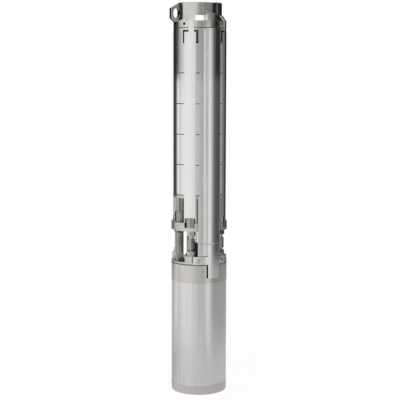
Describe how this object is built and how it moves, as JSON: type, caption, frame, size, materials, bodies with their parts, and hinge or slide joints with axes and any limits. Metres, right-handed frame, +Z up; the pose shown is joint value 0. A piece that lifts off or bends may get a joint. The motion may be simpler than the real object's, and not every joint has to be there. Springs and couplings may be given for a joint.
{
  "type": "borehole submersible pump",
  "caption": "Slim upright multistage borehole pump in stainless steel on a canned submersible motor, with strapped stages, open inlet, cable guard, lifting eye and threaded outlet.",
  "frame": {"origin": "centre of the motor's flat foot", "axes": "+Z up the shaft to the outlet, cable guard towards -Y, lifting eye towards -X"},
  "size_m": [0.101, 0.0975, 0.6615],
  "materials": {
    "can_steel": "satin stainless steel can",
    "cap_steel": "matt cast stainless steel, slightly warm",
    "band_steel": "machined stainless steel",
    "sheet_steel": "bright drawn stainless sheet",
    "strap_steel": "bright rolled stainless strip",
    "guard_steel": "polished stainless sheet",
    "cast_steel": "fine blasted stainless casting",
    "head_steel": "machined stainless casting",
    "fastener_steel": "bright stainless fasteners",
    "shaft_steel": "ground stainless shaft",
    "impeller_steel": "pressed stainless sheet",
    "inner_casting": "grey stainless casting",
    "lamination_steel": "stacked laminations",
    "winding_copper": "enamelled copper",
    "bearing_carbon": "carbon and ceramic bearing material",
    "rubber": "black nitrile rubber",
    "socket_plastic": "moulded black socket",
    "spring_steel": "stainless spring wire"
  },
  "bodies": {
    "casing": {"motor_sleeve": "can_steel", "motor_end_cap": "cap_steel", "motor_top_housing": "band_steel", "fill_plug": "band_steel", "chamber_1": "sheet_steel", "chamber_2": "sheet_steel", "chamber_3": "sheet_steel", "chamber_4": "sheet_steel", "chamber_5": "sheet_steel", "strap_1": "strap_steel", "strap_2": "strap_steel", "strap_3": "strap_steel", "strap_4": "strap_steel", "cable_guard": "guard_steel", "lower_guard": "guard_steel", "suction_interconnector": "cast_steel", "inlet_bowl": "cast_steel", "discharge_head": "head_steel", "lifting_eye": "head_steel", "motor_studs": "fastener_steel", "motor_nuts": "fastener_steel", "clamp_studs": "fastener_steel", "clamp_nuts": "fastener_steel", "strap_nuts": "fastener_steel", "guard_screws": "fastener_steel", "thrust_housing": "inner_casting", "valve_seat": "inner_casting", "valve_guide": "inner_casting", "stator_core": "lamination_steel", "stator_windings": "winding_copper", "thrust_shoes": "bearing_carbon", "lower_bush": "bearing_carbon", "upper_bush": "bearing_carbon", "diaphragm": "rubber", "shaft_seal": "rubber", "wear_rings": "rubber", "shaft_bearings": "rubber", "seat_o_ring": "rubber", "cable_socket": "socket_plastic", "valve_spring": "spring_steel"},
    "rotor": {"motor_shaft": "shaft_steel", "rotor_core": "lamination_steel", "thrust_disc": "inner_casting", "sand_slinger": "rubber", "coupling": "shaft_steel", "pump_shaft": "shaft_steel", "split_cones": "fastener_steel", "cone_nuts": "fastener_steel", "impeller_1": "impeller_steel", "impeller_2": "impeller_steel", "impeller_3": "impeller_steel", "impeller_4": "impeller_steel", "impeller_5": "impeller_steel"},
    "valve": {"valve_cup": "inner_casting"}
  },
  "joints": [
    {"name": "rotor_spin", "type": "hinge", "parent": "casing", "child": "rotor", "pos_m": [0, 0, 0], "axis": [0, 0, 1], "continuous": true},
    {"name": "valve_lift", "type": "slide", "parent": "casing", "child": "valve", "axis": [0, 0, 1], "range_m": [0, 0.01], "stiffness_N_per_m": 150, "springref_m": -0.008, "deforming": ["valve_spring"]}
  ]
}
